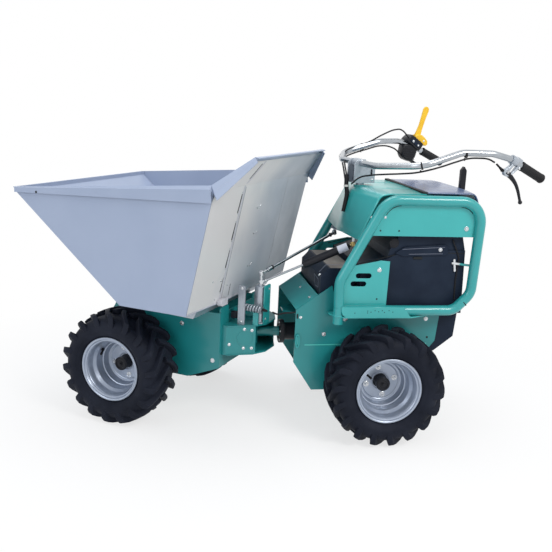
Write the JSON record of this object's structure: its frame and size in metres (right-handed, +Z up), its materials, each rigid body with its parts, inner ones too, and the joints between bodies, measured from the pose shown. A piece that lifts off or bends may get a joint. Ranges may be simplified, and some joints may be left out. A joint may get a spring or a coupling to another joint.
{
  "type": "walk-behind power buggy",
  "caption": "Battery-electric walk-behind power buggy: centre-articulated four-wheel dumper with a forward-tipping open skip, tube guard frames and a handlebar.",
  "frame": {"origin": "on the ground under the middle of the bounding box at rest", "axes": "+Z up, +X from the operator's end toward the skip along the rear half's centre line, +Y to the machine's left"},
  "size_m": [1.8243, 1.1114, 1.152],
  "materials": {
    "teal_paint": "gloss",
    "skip_paint": "satin",
    "galvanised": "satin",
    "tyre_rubber": "matte",
    "rim_metal": "satin",
    "bright_chrome": "gloss",
    "black_satin": "satin",
    "dark_plastic": "satin",
    "grip_rubber": "matte",
    "yellow_plastic": "gloss"
  },
  "bodies": {
    "rear_half": {"rear_chassis": "teal_paint", "rear_axle": "black_satin", "pivot_knuckle": "teal_paint", "swivel_flange": "black_satin", "rear_tongue": "teal_paint", "front_cover": "teal_paint", "electronics_box": "black_satin", "battery_box": "dark_plastic", "battery_lid": "dark_plastic", "hood": "teal_paint", "rear_lid": "dark_plastic", "lid_post": "black_satin", "cowl": "teal_paint", "head_tube": "teal_paint", "loop_left": "teal_paint", "loop_right": "teal_paint", "side_panel_left": "teal_paint", "side_panel_right": "teal_paint", "gusset_left": "teal_paint", "gusset_right": "teal_paint", "deck_left": "teal_paint", "deck_right": "teal_paint"},
    "front_half": {"front_chassis": "teal_paint", "tip_pin": "galvanised", "front_axle": "black_satin", "pivot_housing": "teal_paint", "steering_post": "galvanised", "post_web": "teal_paint", "latch_spring": "galvanised", "latch_bracket": "teal_paint", "latch_bar": "galvanised"},
    "skip": {"skip_tub": "skip_paint", "skip_underframe": "galvanised"},
    "steering_bars": {"stem": "galvanised", "bar_clamp": "galvanised", "handlebar": "bright_chrome", "grip_left": "grip_rubber", "grip_right": "grip_rubber", "brake_lever": "black_satin", "control_block": "black_satin", "yellow_lever": "yellow_plastic"},
    "drag_link": {"drag_link": "bright_chrome"},
    "damper_body": {"damper_body": "black_satin"},
    "damper_rod": {"damper_rod": "bright_chrome"},
    "wheel_front_left": {"tyre_front_left": "tyre_rubber", "rim_front_left": "rim_metal", "hub_front_left": "black_satin"},
    "wheel_front_right": {"tyre_front_right": "tyre_rubber", "rim_front_right": "rim_metal", "hub_front_right": "black_satin"},
    "wheel_rear_left": {"tyre_rear_left": "tyre_rubber", "rim_rear_left": "rim_metal", "hub_rear_left": "black_satin"},
    "wheel_rear_right": {"tyre_rear_right": "tyre_rubber", "rim_rear_right": "rim_metal", "hub_rear_right": "black_satin"}
  },
  "joints": [
    {"name": "articulation", "type": "hinge", "parent": "rear_half", "child": "front_half", "pos_m": [0.0834, 0.179, 0.316], "axis": [0, 0, 1], "range_deg": [-3.8, 70.2]},
    {"name": "skip_tip", "type": "hinge", "parent": "front_half", "child": "skip", "pos_m": [0.41811, -0.04002, 0.475], "axis": [0.5476, 0.8368, 0], "range_deg": [0, 85]},
    {"name": "handlebar_turn", "type": "hinge", "parent": "rear_half", "child": "steering_bars", "pos_m": [-0.3016, 0.179, 0.8], "axis": [0, 0, 1], "range_deg": [-29.6, 1.7]},
    {"name": "drag_link_swing", "type": "hinge", "parent": "steering_bars", "child": "drag_link", "pos_m": [-0.2576, 0.029, 0.664], "axis": [0, 0, 1], "range_deg": [-1.2, 19.6]},
    {"name": "damper_swing", "type": "hinge", "parent": "rear_half", "child": "damper_body", "pos_m": [-0.2496, 0.329, 0.676], "axis": [0, 0, 1], "range_deg": [-15, 1]},
    {"name": "damper_stroke", "type": "slide", "parent": "damper_body", "child": "damper_rod", "axis": [0.8614, -0.2366, -0.4495], "range_m": [-0.0198, 0.0012]},
    {"name": "wheel_front_left_spin", "type": "hinge", "parent": "front_half", "child": "wheel_front_left", "pos_m": [0.54719, 0.20654, 0.20381], "axis": [0.5476, 0.8368, 0], "continuous": true},
    {"name": "wheel_front_right_spin", "type": "hinge", "parent": "front_half", "child": "wheel_front_right", "pos_m": [0.24384, -0.25703, 0.20381], "axis": [0.5476, 0.8368, 0], "continuous": true},
    {"name": "wheel_rear_left_spin", "type": "hinge", "parent": "rear_half", "child": "wheel_rear_left", "pos_m": [-0.3576, 0.456, 0.20381], "axis": [0, 1, 0], "continuous": true},
    {"name": "wheel_rear_right_spin", "type": "hinge", "parent": "rear_half", "child": "wheel_rear_right", "pos_m": [-0.3576, -0.098, 0.20381], "axis": [0, 1, 0], "continuous": true}
  ],
  "couplings": [
    {"joint": "handlebar_turn", "follows": "articulation", "ratio": -0.42},
    {"joint": "drag_link_swing", "follows": "articulation", "ratio": 0.2756},
    {"joint": "damper_swing", "follows": "articulation", "ratio": -0.2116},
    {"joint": "damper_stroke", "follows": "articulation", "m_per_rad": -0.016}
  ]
}
